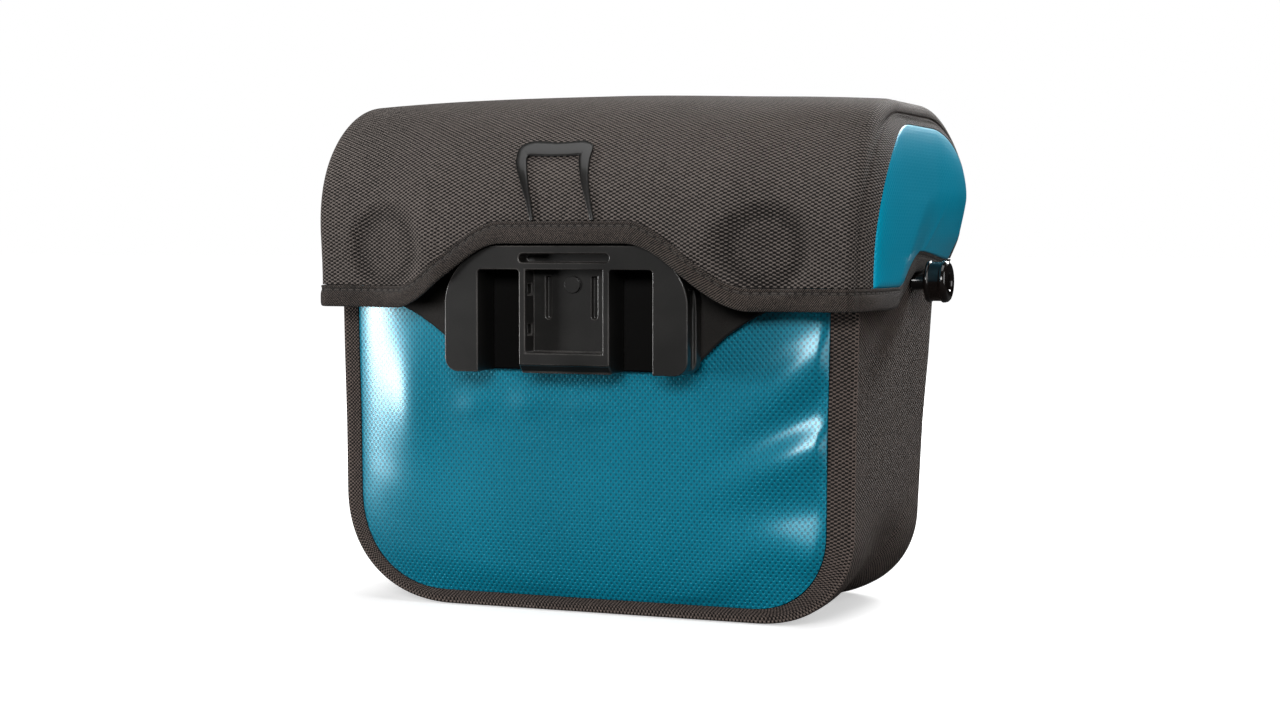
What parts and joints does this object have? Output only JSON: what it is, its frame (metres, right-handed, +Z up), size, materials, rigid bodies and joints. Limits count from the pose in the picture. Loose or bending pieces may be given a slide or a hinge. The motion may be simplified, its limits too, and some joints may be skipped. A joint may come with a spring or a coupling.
{
  "type": "handlebar bag",
  "caption": "Box-shaped bicycle handlebar bag with a woven fabric lid and gusset, coated coloured faces, a moulded hook-in handlebar receiver and round strap knobs",
  "frame": {"origin": "centre of the bag's footprint, at the bottom it stands on", "axes": "+X along the handlebar, to the right for someone who looks at the mounting side; +Y forward, away from the rider; +Z up"},
  "size_m": [0.2774, 0.185, 0.227],
  "materials": {
    "woven_black": "matte woven cloth",
    "tape_black": "matte woven tape",
    "teal_coated": "glossy coated cloth with an embossed weave",
    "satin_plastic": "satin moulded",
    "gloss_plastic": "polished moulded"
  },
  "bodies": {
    "root": {"gusset_band": "woven_black", "mount_side_panel": "teal_coated", "front_panel": "teal_coated", "lid_cover": "woven_black", "lid_end_left": "teal_coated", "lid_end_right": "teal_coated", "lid_hem": "tape_black", "lid_pull_loop": "woven_black", "mount_backplate": "satin_plastic", "mount_housing": "satin_plastic", "strap_knob_left": "gloss_plastic", "strap_knob_right": "gloss_plastic"}
  },
  "joints": []
}
